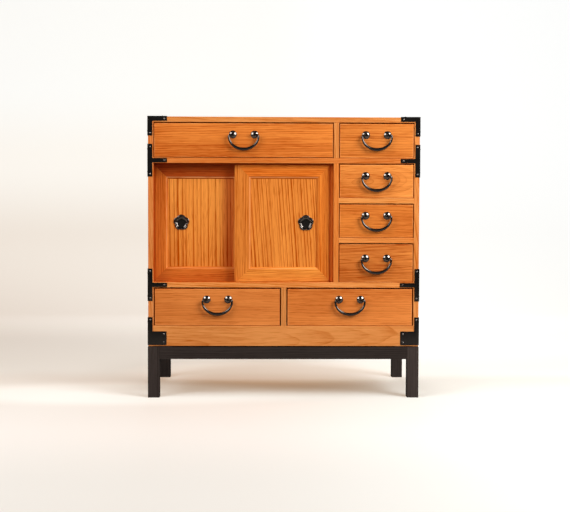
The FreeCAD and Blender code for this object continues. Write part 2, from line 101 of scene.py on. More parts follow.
def softbox(name, azimuth, elevation, distance, power, size=1.0, spots=True):
    """A square lamp aimed at the chest's front, placed by two angles as seen from there."""
    a, e = math.radians(azimuth), math.radians(elevation)
    towards = Vector((math.sin(a) * math.cos(e), -math.cos(a) * math.cos(e), math.sin(e)))
    data = bpy.data.lights.new(name, "AREA")
    data.size = size
    data.energy = power
    lamp = add_object(name, data)
    lamp.location = LIGHT_AIM + towards * distance
    lamp.rotation_euler = towards.to_track_quat("Z", "Y").to_euler()
    lamp.visible_glossy = spots


softbox("left_softbox", azimuth=-49, elevation=27, distance=1.8, power=17.5)
softbox("right_softbox", azimuth=50, elevation=27, distance=1.8, power=34)
softbox("overhead_softbox", azimuth=0, elevation=78, distance=2.3, power=17, size=0.8, spots=False)
softbox("rear_softbox", azimuth=180, elevation=36, distance=2.2, power=17, spots=False)
scene.view_settings.view_transform = "Standard"
print("lamps:", len(bpy.data.lights))

# %% [markdown]
# ## Building node trees
# Every finish below is a tree of shader nodes. Short helpers keep that readable. The first ones
# fill sockets and do arithmetic.

# %% Sockets and arithmetic
def feed(tree, socket, value):
    """Links an output to a socket, or types a value in."""
    if isinstance(value, bpy.types.NodeSocket):
        tree.links.new(value, socket)
    else:
        socket.default_value = value


def fill(tree, node, values):
    """Feeds several sockets of a node."""
    for title, value in values.items():
        feed(tree, node.inputs[title], value)


def number(tree, operation, *values):
    """Arithmetic on numbers."""
    node = tree.nodes.new("ShaderNodeMath")
    node.operation = operation
    fill(tree, node, dict(enumerate(values)))
    return node.outputs[0]


def summed(tree, start, *parts):
    """A start value plus each part times its share."""
    for part, share in parts:
        start = number(tree, "MULTIPLY_ADD", part, share, start)
    return start


def product(tree, first, *others):
    """Numbers multiplied together."""
    for other in others:
        first = number(tree, "MULTIPLY", first, other)
    return first


def point(tree, operation, *values, scale=1.0):
    """Arithmetic on points and colours. The scale goes to the fourth socket."""
    node = tree.nodes.new("ShaderNodeVectorMath")
    node.operation = operation
    fill(tree, node, {**dict(enumerate(values)), 3: scale})
    return node.outputs["Value" if operation == "LENGTH" else "Vector"]


# %% [markdown]
# The next ones give points on the surface, noise, curves and colours.

# %% Points, noise and curves
def object_point(tree):
    """A point of the surface in the object's own coordinates."""
    return tree.nodes.new("ShaderNodeTexCoord").outputs["Object"]


def axes_of(tree, vector):
    """The X, Y and Z of a point."""
    node = tree.nodes.new("ShaderNodeSeparateXYZ")
    feed(tree, node.inputs[0], vector)
    return node.outputs


def mottle(tree, vector, stretch, seed, detail=2.0, crisp=0.5, colour=False):
    """Noise squeezed by a different amount along each axis."""
    node = tree.nodes.new("ShaderNodeTexNoise")
    node.noise_dimensions = "4D"
    fill(tree, node, {"Vector": point(tree, "MULTIPLY", vector, stretch), "W": seed,
                      "Scale": 1.0, "Detail": detail, "Roughness": crisp})
    return node.outputs[1 if colour else 0]


def ramp(tree, value, stops):
    """A curve or a run of colours through (position, height) stops."""
    node = tree.nodes.new("ShaderNodeValToRGB")
    node.color_ramp.interpolation = "EASE"
    elements = node.color_ramp.elements
    while len(elements) < len(stops):
        elements.new(0.5)
    for element, (place, height) in zip(elements, stops):
        element.position = place
        element.color = (*height, 1) if isinstance(height, tuple) else (height, height, height, 1)
    feed(tree, node.inputs[0], value)
    return node.outputs[0]


def ramp_over(tree, distance, length, stops):
    """A curve whose stops are shares of a length in millimetres."""
    return ramp(tree, number(tree, "DIVIDE", distance, length * MM), stops)


def blended(tree, factor, low, high):
    """One colour turning into another."""
    node = tree.nodes.new("ShaderNodeMix")
    node.data_type = "RGBA"
    fill(tree, node, {0: factor, 6: low, 7: high})
    return node.outputs[2]


# %% [markdown]
# An effect that finishes share is a group. The last helpers make groups, materials and bumps.

# %% Groups and materials
def node_group(name, inputs, outputs):
    """A new group: its tree, what goes in and its output node."""
    tree = bpy.data.node_groups.new(name, "ShaderNodeTree")
    for in_out, kinds in (("INPUT", inputs), ("OUTPUT", outputs)):
        for kind, titles in kinds.items():
            for title in titles:
                tree.interface.new_socket(title, in_out=in_out, socket_type="NodeSocket" + kind)
    return tree, tree.nodes.new("NodeGroupInput").outputs, tree.nodes.new("NodeGroupOutput")


def use_group(tree, group, values):
    """Puts a group into a tree and feeds it; gives back what comes out."""
    node = tree.nodes.new("ShaderNodeGroup")
    node.node_tree = group
    fill(tree, node, values)
    return node.outputs


def new_material(name):
    """A material, its node tree and its shader."""
    material = bpy.data.materials.new(name)
    material.use_nodes = True
    return material, material.node_tree, material.node_tree.nodes["Principled BSDF"]


def bumped(tree, shader, height, strength, depth):
    """Tilts a shader's surface by a height."""
    bump = tree.nodes.new("ShaderNodeBump")
    fill(tree, bump, {"Strength": strength, "Distance": depth * MM, "Height": height})
    feed(tree, shader.inputs["Normal"], bump.outputs["Normal"])


# %% [markdown]
# The world is the first tree. A weak even light stands for the walls of the studio; where the
# camera sees past the floor they are pale.

# %% Studio walls
WALL_TINT, WALL_LIGHT, WALL_SEEN = (1.0, 0.97, 0.93, 1), 0.05, 0.85
world = bpy.data.worlds.new("studio")
world.use_nodes = True
walls = world.node_tree
camera_sees = walls.nodes.new("ShaderNodeLightPath").outputs["Is Camera Ray"]
wall_strength = summed(walls, WALL_LIGHT, (camera_sees, WALL_SEEN))
fill(walls, walls.nodes["Background"], {"Color": WALL_TINT, "Strength": wall_strength})
scene.world = world
print("wall nodes:", len(walls.nodes))

# %% [markdown]
# ## Timber
# A board is cut out of a trunk, and its figure is where the growth rings meet its faces. So the
# pattern here is the trunk itself: rings round a heart line that leans a little, wander a little
# and differ in width. A board cut near the heart then shows arches on its own, one cut far from it
# shows straight stripes, and the ends show end grain. A flat picture of wood could not turn those
# corners.
#
# Each kind of noise has a number of spots in a metre along the grain, and another across it.

# %% Growth rings
SPOTS = {"drift": (2.2, 13), "ripple": (11, 40), "broken": (9, 90), "streak": (1.5, 110),
         "fibre": (12, 320), "pore": (36, 600), "cloud": (3.0, 15)}
RIPPLE, SEASONS, SEASON_SWING, YEAR_LEAST, YEAR_SWING = 0.35, 90.0, 1.4, 0.4, 0.7
LATE_WOOD = ((0, 0), (0.5, 0.06), (0.78, 0.5), (0.92, 1), (1, 0))
SURFACE = dict(Color=["Color"], Float=["Roughness", "Height"])
timber, given, shown = node_group("timber", dict(
    Vector=["Board Point", "Heart", "Lean"], Color=["Pale", "Deep"],
    Float=["Ring Width", "Wander", "Tree", "Contrast", "Mottling", "Fade"]), SURFACE)
spot, seed = given["Board Point"], given["Tree"]
along = axes_of(timber, spot)["X"]


def grain_noise(kind, **how):
    """One kind of noise in the wood."""
    with_grain, across = SPOTS[kind]
    return mottle(timber, spot, (with_grain, across, across), seed, **how)


lean = point(timber, "SCALE", given["Lean"], scale=along)
heart_line = point(timber, "ADD", given["Heart"], lean)
drift, ripple = [point(timber, "SUBTRACT", grain_noise(kind, colour=True), (0.5, 0.5, 0.5))
                 for kind in ("drift", "ripple")]
drift = point(timber, "ADD", drift, point(timber, "SCALE", ripple, scale=RIPPLE))
drift = point(timber, "SCALE", drift, scale=given["Wander"])
from_heart = point(timber, "ADD", point(timber, "SUBTRACT", spot, heart_line), drift)
age = point(timber, "LENGTH", point(timber, "MULTIPLY", from_heart, (0, 1, 1)))

season = timber.nodes.new("ShaderNodeTexNoise")
season.noise_dimensions = "1D"
fill(timber, season, {"W": summed(timber, seed, (age, SEASONS)), "Scale": 1.0})
rings = number(timber, "DIVIDE", age, given["Ring Width"])
rings = summed(timber, rings, (season.outputs[0], SEASON_SWING))
year = timber.nodes.new("ShaderNodeTexWhiteNoise")
year.noise_dimensions = "1D"
feed(timber, year.inputs["W"], number(timber, "ADD", number(timber, "FLOOR", rings), seed))
late = product(timber, ramp(timber, number(timber, "FRACT", rings), LATE_WOOD),
               summed(timber, YEAR_LEAST, (year.outputs["Value"], YEAR_SWING)),
               ramp(timber, grain_noise("broken"), ((0.34, 0.5), (0.6, 1))))
print("ring nodes:", len(timber.nodes))

# %% [markdown]
# The same group adds short dark pores, fine fibres, and broad clouds of tone. It puts out a colour,
# a roughness and a height, each different at every point.

# %% Pores, fibres and clouds
CLOUDY, STREAKY, FIBROUS, MEAN_DEPTH, PORE_DEPTH = 1.4, 0.5, 1.0, 0.27, 0.25
SMOOTHEST_WOOD, FIBRE_ROUGHNESS = 0.32, 0.2
FIBRE_HEIGHT, PORE_HEIGHT, LATE_HEIGHT = 0.5, -0.6, -0.2
streak = grain_noise("streak", detail=3.0)
fibre = grain_noise("fibre", detail=3.0, crisp=0.6)
pore = ramp(timber, grain_noise("pore", detail=1.0), ((0.52, 0), (0.68, 1)))
cloud = grain_noise("cloud", detail=3.0)
uneven = summed(timber, -(CLOUDY + STREAKY + FIBROUS) / 2,
                (cloud, CLOUDY), (streak, STREAKY), (fibre, FIBROUS))
depth = summed(timber, MEAN_DEPTH, (along, given["Fade"]), (uneven, given["Mottling"]),
               (late, given["Contrast"]), (pore, PORE_DEPTH))
relief = summed(timber, 0.0, (fibre, FIBRE_HEIGHT), (pore, PORE_HEIGHT), (late, LATE_HEIGHT))
fill(timber, shown, {
    "Color": blended(timber, depth, given["Pale"], given["Deep"]), "Height": relief,
    "Roughness": summed(timber, SMOOTHEST_WOOD, (fibre, FIBRE_ROUGHNESS))})
print("timber nodes:", len(timber.nodes))

# %% [markdown]
# ## One board, one piece of the trunk
# Each board gets a material of its own, because no two boards of a chest come from the same place
# in the tree. A Mapping node carries the object's coordinates to the middle of the board and turns
# them so that X runs with the grain. The heart is then a distance from the middle of the board, as
# a sawyer would give it.
#
# The oil and wax on the front is a thin clear layer, which is the coat of the shader. Later groups
# say where a board is made paler, where a painted shade line runs along its edge, and where painted
# shade darkens it and takes its coat away.

# %% Board materials
HONEY = (0.858, 0.292, 0.054), (0.372, 0.049, 0.0)
STRAW = (0.867, 0.341, 0.094), (0.531, 0.119, 0.009)
RUSSET = (0.841, 0.248, 0.04), (0.416, 0.051, 0.0)
BROWN = (0.805, 0.257, 0.057), (0.389, 0.062, 0.0)
# The colour of a painted shade line along an edge.
SHADE_LINE_COLOUR = (0.42, 0.045, 0.002)
GRAIN_TURN = {"x": (0, 0, 0), "y": (0, 0, math.radians(90)), "z": (0, math.radians(-90), 0)}
GRAIN_RELIEF, WAX_ROUGHNESS = 0.3, 0.16


def tone(colour, share=1.0):
    """A colour times one share, or one for each channel, with a fourth value added."""
    shares = share if isinstance(share, tuple) else (share, share, share)
    return tuple(channel * part for channel, part in zip(colour, shares)) + (1,)


def board_material(name, middle, grain, heart, lean=(0, 0), ring=4.0, wander=10.0, tree=0.0,
                   colours=HONEY, share=1.0, contrast=0.7, mottling=0.9, fade=0.0, coat=0.3,
                   relief=0.12, paling=None, paled_to=STRAW[0], hidden=None):
    """Timber for one board: heart in mm behind and above its middle, lean in mm a metre."""
    material, finish, shader = new_material(name)
    mapping = finish.nodes.new("ShaderNodeMapping")
    mapping.vector_type = "TEXTURE"
    fill(finish, mapping, {"Vector": object_point(finish), "Location": middle,
                           "Rotation": GRAIN_TURN[grain]})
    figure = use_group(finish, timber, {
        "Board Point": mapping.outputs["Vector"], "Heart": Vector((0, *heart)) * MM,
        "Lean": Vector((0, *lean)) * MM, "Ring Width": ring * MM, "Wander": wander * MM,
        "Tree": tree, "Contrast": contrast, "Mottling": mottling, "Fade": fade,
        "Pale": tone(colours[0], share), "Deep": tone(colours[1], share)})
    bumped(finish, shader, figure["Height"], relief, GRAIN_RELIEF)
    colour, oil = figure["Color"], coat
    if paling:
        paler_and_shade = use_group(finish, *paling)
        # Paler: on the drawer fronts a painted highlight along the edges.
        colour = blended(finish, paler_and_shade["Paler"], colour, tone(paled_to))
        # A dark line along the edge, painted shade.
        colour = blended(finish, paler_and_shade["Shade Line"], colour, tone(SHADE_LINE_COLOUR))
    # Painted shade: a darker tint, and less coat.
    if hidden:
        shade_and_oil = use_group(finish, hidden, {})
        colour = point(finish, "MULTIPLY", colour, shade_and_oil["Tint"])
        oil = product(finish, shade_and_oil["Oil"], coat)
    fill(finish, shader, {
        "Base Color": colour, "Roughness": figure["Roughness"], "Specular IOR Level": 0.0,
        "Coat Weight": oil, "Coat Roughness": WAX_ROUGHNESS})
    return material


def middle_of(node):
    """The middle of a solid's box."""
    low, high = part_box(node)
    return (low + high) / 2


def finish_node(node, material):
    """Gives a solid from CAD its material."""
    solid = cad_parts[node]
    solid.data.materials.clear()
    solid.data.materials.append(material)


def finish_boards(cuts, finish, first_tree, tree_step, **shared):
    """Gives each solid in a table of cuts its own board."""
    for index, (node, cut) in enumerate(cuts.items()):
        look = dict(shared, **cut, tree=first_tree + tree_step * index)
        finish_node(node, board_material(f"{finish}_{node}", middle_of(node), **look))


# %% [markdown]
# ## Painted shade inside
# Behind the front edges the carcass boards and the sides of the drawer fronts are painted darker
# and browner, and lose their coat. This painted shade makes the gaps round the drawers show as dark
# red lines. One mask does it for all of them: a point is inside when it lies between the side
# panels, under the top, and behind the drawers' faces.

# %% Inside mask
INSIDE_FROM, INSIDE_FADE, INSIDE_MARGIN = 1.3, 0.8, 1.0
# The inside tint is painted shade.
INSIDE_SHADE_TINT, NO_TINT = (0.66, 0.33, 0.14, 1), (1, 1, 1, 1)
SHADE_OUTPUTS = dict(Color=["Tint"], Float=["Oil"])


def shade_where(tree, shown, mask, tint):
    """Puts out a tint of painted shade where a mask is one, and oil where it is nought."""
    fill(tree, shown, {"Tint": blended(tree, mask, NO_TINT, tint),
                       "Oil": number(tree, "SUBTRACT", 1.0, mask)})


inside, _, shown = node_group("painted_inside_shade", {}, SHADE_OUTPUTS)
axes = axes_of(inside, object_point(inside))
front_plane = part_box("left_side_panel")[0].y
inner_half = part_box("right_side_panel")[0].x
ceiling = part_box("top_panel")[0].z
behind = number(inside, "SUBTRACT", axes["Y"], front_plane + INSIDE_FROM * MM)
behind = ramp_over(inside, behind, INSIDE_FADE, ((0, 0), (1, 1)))
from_middle = number(inside, "ABSOLUTE", axes["X"])
between = number(inside, "LESS_THAN", from_middle, inner_half + INSIDE_MARGIN * MM)
below = number(inside, "LESS_THAN", axes["Z"], ceiling + INSIDE_MARGIN * MM)
shade_where(inside, shown, product(inside, behind, between, below), INSIDE_SHADE_TINT)
print("inside begins at", round(front_plane / MM + INSIDE_FROM, 2), "mm")

# %% [markdown]
# ## The carcass
# Sides and partitions stand with their grain upright, and the top, the shelves and the apron lie
# with theirs along the front. The apron is cut near the heart and shows flat arches; the narrow
# edges of the other boards show only a few stripes. A row that ends early keeps the usual contrast.

# %% Carcass boards
def table(columns, rows):
    """Rows of a table with a title for each column."""
    return {node: dict(zip(columns, row)) for node, row in rows.items()}


carcass_cuts = table(("grain", "heart", "lean", "ring", "share", "contrast"), {
    "top_panel": ("x", (60, -95), (40, 30), 4.5, 0.9),
    "left_side_panel": ("z", (-40, 80), (60, 20), 4.5, (0.96, 0.92, 1.02)),
    "right_side_panel": ("z", (50, -85), (-50, 25), 4.5, 0.98),
    "upper_shelf": ("x", (-190, -46), (20, 40), 4.0, (0.9, 0.75, 0.62)),
    "lower_shelf": ("x", (-195, 55), (15, -40), 4.0, (1.14, 1.18, 1.25)),
    "right_shelf_upper": ("x", (-180, 40), (10, 50), 3.5, (1.01, 1.02, 0.96)),
    "right_shelf_lower": ("x", (-185, -38), (20, -40), 3.5, (1.02, 0.97, 0.9)),
    "upper_partition": ("z", (-190, 45), (0, 30), 3.5, 0.9),
    "middle_partition": ("z", (-195, -50), (0, 25), 3.5, (1.0, 0.89, 0.73)),
    "lower_partition": ("z", (-190, 40), (0, -30), 3.5, 0.85),
    "front_apron": ("x", (70, -8), (30, 60), 2.6, 0.96, 0.5),
})
# Behind the front edges the inside mask paints shade on these boards.
finish_boards(carcass_cuts, "oiled", 1.0, 3.7, colours=STRAW, hidden=inside)
print("carcass boards:", len(carcass_cuts))

# %% [markdown]
# ## Drawer fronts
# Each face has a thin pale border, a painted highlight along its eased edges, and a dark line at
# its very edge, which is painted shade in the gap round the drawer. Both are found from how near a
# point is to the edge of the face, the border a little more here and less there.

# %% Pale edges and painted shade line
BORDER, SHADE_LINE_WIDTH, BORDER_SPOTS, BORDER_SEED = 2.8, 0.9, (30, 30, 30), 7.0
PALER_AND_SHADE = dict(Float=["Paler", "Shade Line"])
edges, given, shown = node_group("pale_edges", dict(Vector=["Middle", "Half Size"]), PALER_AND_SHADE)
where = object_point(edges)
offset = point(edges, "ABSOLUTE", point(edges, "SUBTRACT", where, given["Middle"]))
margin = axes_of(edges, point(edges, "SUBTRACT", given["Half Size"], offset))
nearest = number(edges, "MINIMUM", margin["X"], margin["Z"])
border = ramp_over(edges, nearest, BORDER, ((0, 1), (0.55, 0.8), (1, 0)))
patchy = ramp(edges, mottle(edges, where, BORDER_SPOTS, BORDER_SEED), ((0.38, 0), (0.68, 0.75)))
# The border is a painted highlight, and the line at the very edge painted shade.
fill(edges, shown, {"Paler": product(edges, border, patchy),
                    "Shade Line": ramp_over(edges, nearest, SHADE_LINE_WIDTH, ((0.4, 0.85), (1, 0)))})
print("worn edge nodes:", len(edges.nodes))

# %% [markdown]
# The wide top front has long straight stripes. The narrow ones are shorter cuts with arches and a
# lean, which is why no two of them look alike.

# %% Drawer fronts
drawer_cuts = table(("heart", "lean", "ring", "share", "contrast", "mottling", "fade", "colours"), {
    "top_left": ((60, 190), (10, 15), 5.0, (0.92, 0.94, 0.99), 0.7, 1.2, -0.9, RUSSET),
    "top_right": ((60, 150), (10, -20), 5.0, (0.92, 0.88, 0.89), 0.7, 0.9, -1.3, HONEY),
    "right_upper": ((0, 3), (300, 40), 7.0, (1.08, 1.15, 1.32), 0.3, 0.9, -2.1, HONEY),
    "right_middle": ((60, 120), (20, -40), 5.5, (0.94, 0.85, 0.79), 0.5, 0.9, 0.0, HONEY),
    "right_lower": ((60, 110), (20, 50), 5.5, (0.92, 0.88, 0.95), 0.5, 1.2, 0.0, HONEY),
    "bottom_left": ((70, -170), (10, 20), 4.5, 1.0, 0.35, 0.75, -0.3, BROWN),
    "bottom_right": ((70, 180), (10, -20), 4.5, (1.02, 1.0, 0.96), 0.35, 0.75, -0.5, BROWN),
})
front_cuts = {}
for drawer, cut in drawer_cuts.items():
    node = drawer + "_drawer_front"
    low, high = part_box(node)
    places = {"Middle": middle_of(node), "Half Size": (high - low) / 2}
    front_cuts[node] = dict(cut, paling=(edges, places))
# The sides of the drawer fronts, in the gaps, take the same painted shade.
finish_boards(front_cuts, "oiled", 40.0, 5.3, grain="x", hidden=inside)
print("drawer fronts:", len(front_cuts))

# %% [markdown]
# ## Plain timber
# Drawer boxes, the board under the lowest drawers and the back are left as planed: a pale, dry,
# softer wood with close rings and no oil.

# %% Plain boards
PLANED = (0.53, 0.354, 0.19), (0.336, 0.186, 0.08)
box_cut = dict(grain="y", heart=(60, -90), lean=(30, 10))
plain_cuts = {drawer + "_drawer_box": box_cut for drawer in drawer_cuts}
plain_cuts["back_panel"] = dict(grain="z", heart=(70, 40), lean=(10, 80), ring=5.0)
plain_cuts["bottom_panel"] = dict(grain="x", heart=(60, -80), lean=(20, 30), ring=5.0)
finish_boards(plain_cuts, "planed", 90.0, 2.9, colours=PLANED, coat=0.0, contrast=0.5)
print("plain boards:", len(plain_cuts))

# %% [markdown]
# ## The stand
# Legs and rails are stained almost black, and the grain shows only as a faint streak.

# %% Stand
STAIN, LEG_SHARE, RAIL_SHARE = ((0.046, 0.0345, 0.03), (0.0212, 0.015, 0.0128)), 1.4, 0.95
rails = dict(front_rail="x", rear_rail="x", left_rail="y", right_rail="y", pads="x")
stand_cuts = {f"stand_{rail}": dict(grain=rails[rail], share=RAIL_SHARE) for rail in rails}
for leg in ("front_left", "front_right", "rear_left", "rear_right"):
    stand_cuts[f"stand_{leg}_leg"] = dict(grain="z", share=LEG_SHARE)
finish_boards(stand_cuts, "stained", 150.0, 4.1, heart=(-60, 45), lean=(20, 30), ring=3.0,
              colours=STAIN, coat=0.15, relief=0.2)
print("stand parts:", len(stand_cuts))

# %% [markdown]
# ## Black iron
# The fittings are forged iron with a black lacquer. Hammering leaves the surface slightly uneven,
# which shows as a restless edge on each reflection. The group below gives that unevenness; the
# straps use it with a satin surface, and the handles, rubbed bright by hands, hardly at all.
# Lacquer on iron mirrors more strongly than lacquer on wood, so the index of refraction is high.

# %% Iron group and materials
DENT_SPOTS, HAZE_SPOTS, HAZE_ROUGHNESS, DENT_DEPTH = (260, 260, 260), (70, 70, 70), 0.06, 0.4
BLACK, WORN_BLACK = (0.002, 0.002, 0.002, 1), (0.009, 0.008, 0.0075, 1)
WARM_SHINE = (1.0, 0.87, 0.77, 1)
forging, given, shown = node_group(
    "forging", dict(Vector=["Point"], Float=["Smoothest"]), SURFACE)
haze = mottle(forging, given["Point"], HAZE_SPOTS, 2.0, detail=3.0)
fill(forging, shown, {
    "Color": blended(forging, haze, BLACK, WORN_BLACK),
    "Roughness": summed(forging, given["Smoothest"], (haze, HAZE_ROUGHNESS)),
    "Height": mottle(forging, given["Point"], DENT_SPOTS, 1.0)})


def iron_material(name, smoothest, relief, refraction):
    """Black lacquered iron."""
    material, finish, shader = new_material(name)
    forged = use_group(finish, forging, {"Point": object_point(finish), "Smoothest": smoothest})
    bumped(finish, shader, forged["Height"], relief, DENT_DEPTH)
    fill(finish, shader, {"Base Color": forged["Color"], "Roughness": forged["Roughness"],
                          "IOR": refraction, "Specular Tint": WARM_SHINE})
    return material


strap_iron = iron_material("satin_black_iron", smoothest=0.13, relief=0.1, refraction=1.6)
bail_iron = iron_material("smooth_black_iron", smoothest=0.06, relief=0.03, refraction=1.95)
handle_iron = iron_material("bright_black_iron", smoothest=0.02, relief=0.01, refraction=2.6)
print("irons:", strap_iron.name, bail_iron.name, handle_iron.name)

# %% [markdown]
# ## Making a piece
# Every new mesh ends the same way: seams are merged, faces are turned outwards, round parts are
# shaded smooth while sharp edges stay sharp, and the piece is tied to the body that it moves with.
# A piece of several parts is put together one part at a time.

# %% Piece helpers
SEAM, TOUCHING = 0.002, 0.01


def only(kind, geometry):
    """The corners, edges or faces among what an operator gives back."""
    return [element for element in geometry if isinstance(element, kind)]


def draw_out(form, face, way):
    """Extrudes a face and moves it; gives back the new face."""
    drawn = bmesh.ops.extrude_face_region(form, geom=[face])["geom"]
    bmesh.ops.translate(form, verts=only(BMVert, drawn), vec=way)
    return only(BMFace, drawn)[0]


def round_edges(form, edges, radius, segments):
    """Rounds some edges, by a radius in millimetres."""
    bmesh.ops.bevel(form, geom=edges, offset=radius * MM, affect="EDGES", segments=segments,
                    profile=0.5, material=-1)


def add_form(whole, part, place, index):
    """Joins a form to another one, with its material number."""
    for face in part.faces:
        face.material_index = index
    part.transform(place)
    loose = bpy.data.meshes.new("loose_part")
    part.to_mesh(loose)
    part.free()
    whole.from_mesh(loose)
    bpy.data.meshes.remove(loose)


def make_piece(name, form, materials, body, node, sharp=35):
    """Turns a finished bmesh into a piece that stands for a solid and rides on its body."""
    bmesh.ops.remove_doubles(form, verts=form.verts[:], dist=SEAM * MM)
    bmesh.ops.recalc_face_normals(form, faces=form.faces[:])
    mesh = bpy.data.meshes.new(name)
    form.to_mesh(mesh)
    form.free()
    mesh.shade_smooth()
    mesh.set_sharp_from_angle(angle=math.radians(sharp))
    for material in materials:
        mesh.materials.append(material)
    piece = add_object(name, mesh)
    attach(piece, body)
    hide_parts(node)


# %% [markdown]
# ## Handle posts
# On the real handle a round post goes through a domed rosette and through the drawer front, where a
# nut holds it. Rosette and post are turned shapes, half outlines spun about the post's axis, and
# the nut is a six-sided disc. The dome is part of a ball, wide enough to hold the image of a lamp
# on either side of the post; its outline, and the post's rounded end, are a vertex spun through
# part of a turn.

# %% Turned shapes
ROSETTE_BASE = [(0, 0.3), (8.5, 0.3), (8.8, 0.0), (8.8, 0.3)]
DOME_RIM, DOME_HEIGHT, DOME_LIFT = 8.65, 3.3, 0.5
POST, POST_START, POST_END, POST_ROUND = 3.5, 3.6, 11.0, 0.8
SHANK = [(0, -18.9), (1.9, -18.9), (2.2, -18.5), (2.2, 0.2), (0, 0.2)]
NUT_RADIUS, NUT_THICK, NUT_PLACE = 4.62, 3.2, -18.2


def turned(form, outline):
    """Spins a half outline of (radius, height) corners round the Z axis."""
    corners = [form.verts.new((radius * MM, 0, height * MM)) for radius, height in outline]
    edges = [form.edges.new(pair) for pair in zip(corners, corners[1:])]
    bmesh.ops.spin(form, geom=corners + edges, cent=(0, 0, 0), axis=(0, 0, 1), angle=math.tau,
                   steps=48, use_merge=True)


def arc_outline(rim, centre, angle, steps, lift):
    """Corners of an arc from a rim up towards the axis, about a centre, all lifted."""
    sketch = bmesh.new()
    start = sketch.verts.new((rim, 0, 0))
    bmesh.ops.spin(sketch, geom=[start], cent=(centre[0], 0, centre[1]), axis=(0, -1, 0),
                   angle=angle, steps=steps)
    outline = [(max(0, vert.co.x), vert.co.z + lift) for vert in sketch.verts]
    sketch.free()
    return outline


def rosette():
    """A dome on +Z with the wood's face at zero."""
    form = bmesh.new()
    ball = (DOME_RIM ** 2 + DOME_HEIGHT ** 2) / (2 * DOME_HEIGHT)
    dome = arc_outline(DOME_RIM, (0, DOME_HEIGHT - ball), math.asin(DOME_RIM / ball), 12, DOME_LIFT)
    turned(form, ROSETTE_BASE + dome)
    return form


def post_and_nut():
    """A post along Z, thick outside and thin through the wood, with its nut."""
    form = bmesh.new()
    tip = arc_outline(POST, (POST - POST_ROUND, 0), math.pi / 2, 6, POST_END - POST_ROUND)
    turned(form, [(0, POST_START), (POST, POST_START), *tip, (0, POST_END)])
    turned(form, SHANK)
    nut = bmesh.ops.create_circle(form, cap_ends=True, segments=6, radius=NUT_RADIUS * MM)["verts"]
    raised = draw_out(form, nut[0].link_faces[0], (0, 0, NUT_THICK * MM))
    bmesh.ops.translate(form, verts=nut + list(raised.verts), vec=(0, 0, NUT_PLACE * MM))
    return form


# %% [markdown]
# Each drawer has two posts, at the same distance from the middle of its handle.

# %% Rosettes, posts and nuts
POST_OFFSET = 24


def handle_places(drawer):
    """The two posts' places on a drawer front."""
    middle = middle_of(drawer + "_handle_posts")
    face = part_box(drawer + "_drawer_front")[0].y
    return [Vector((middle.x + side * POST_OFFSET * MM, face, middle.z)) for side in (-1, 1)]


for drawer in drawer_cuts:
    pair = bmesh.new()
    for place in handle_places(drawer):
        outwards = Matrix.Translation(place) @ turn("X", 90)
        add_form(pair, rosette(), outwards, 0)
        add_form(pair, post_and_nut(), outwards, 1)
    make_piece(drawer + "_rosettes_and_posts", pair, [handle_iron, strap_iron], drawer + "_drawer",
               drawer + "_handle_posts")
print("pairs of posts:", len(drawer_cuts))

# %% [markdown]
# ## Bails
# A bail is a crescent of iron rod, thin where its pins enter the posts and thick at its belly. A
# curve with a radius at each point is the shortest way to such a taper. The curve becomes a
# mesh, and the belly is then pressed a little flat, as the smith leaves it.

# %% Bail pattern
BAIL_HALF, BAIL_DROP, BEND, PIN_END = 32.7, 32.2, 4.9, 21.2
PIN, BAIL_SHOULDER, BELLY, PRESSED = 1.7, 2.2, 3.6, 0.27
ROUND, LEAD = 0.5523, 2


def bail_mesh():
    """The bail about its hinge line."""
    curve = bpy.data.curves.new("bail_line", "CURVE")
    curve.dimensions = "3D"
    curve.bevel_depth = 1.0 * MM
    curve.bevel_resolution = 7
    curve.resolution_u = 18
    curve.use_fill_caps = True
    line = curve.splines.new("BEZIER")
    start = BAIL_HALF - BEND
    wide, drop, bend = BAIL_HALF * ROUND, (BAIL_DROP - BEND) * ROUND, BEND * ROUND
    knots = [((-PIN_END, 0), (LEAD, 0), (-LEAD, 0), PIN), ((-start, 0), (LEAD, 0), (-bend, 0), PIN),
             ((-BAIL_HALF, -BEND), (0, bend), (0, -drop), BAIL_SHOULDER),
             ((0, -BAIL_DROP), (-wide, 0), (wide, 0), BELLY),
             ((BAIL_HALF, -BEND), (0, -drop), (0, bend), BAIL_SHOULDER),
             ((start, 0), (bend, 0), (-LEAD, 0), PIN), ((PIN_END, 0), (-LEAD, 0), (LEAD, 0), PIN)]
    line.bezier_points.add(len(knots) - 1)
    for knot, ((x, z), before, after, radius) in zip(line.bezier_points, knots):
        knot.handle_left_type = knot.handle_right_type = "FREE"
        knot.co = Vector((x, 0, z)) * MM
        knot.handle_left = Vector((x + before[0], 0, z + before[1])) * MM
        knot.handle_right = Vector((x + after[0], 0, z + after[1])) * MM
        knot.radius = radius
    holder = bpy.data.objects.new("bail_line", curve)
    mesh = bpy.data.meshes.new_from_object(holder)
    bpy.data.objects.remove(holder)
    return mesh


# %% [markdown]
# One pattern serves all the drawers. Each bail hangs between its own two posts.

# %% Bails
bail_pattern = bail_mesh()
for drawer in drawer_cuts:
    hinge = middle_of(drawer + "_handle_bail")
    hinge.z = handle_places(drawer)[0].z
    form = bmesh.new()
    form.from_mesh(bail_pattern)
    for vert in form.verts:
        vert.co.y *= 1 - PRESSED * min(1, max(0, -vert.co.z / (BAIL_DROP * MM)))
    bmesh.ops.translate(form, verts=form.verts[:], vec=hinge)
    make_piece(drawer + "_bail", form, [bail_iron], drawer + "_bail",
               drawer + "_handle_bail")
bpy.data.meshes.remove(bail_pattern)
print("bails:", len(drawer_cuts))

# %% [markdown]
# ## Door frames
# Each sliding door is four members mitred round a thin panel, with a moulding along the inner edge.
# A member is its outline drawn once, extruded to length, then cut by a plane at each end. Doing the
# mitre with a plane keeps the moulding's line exact where two members meet; a hairline is left
# there, as in any real joint, so the members stay separate. Each member has its own grain.

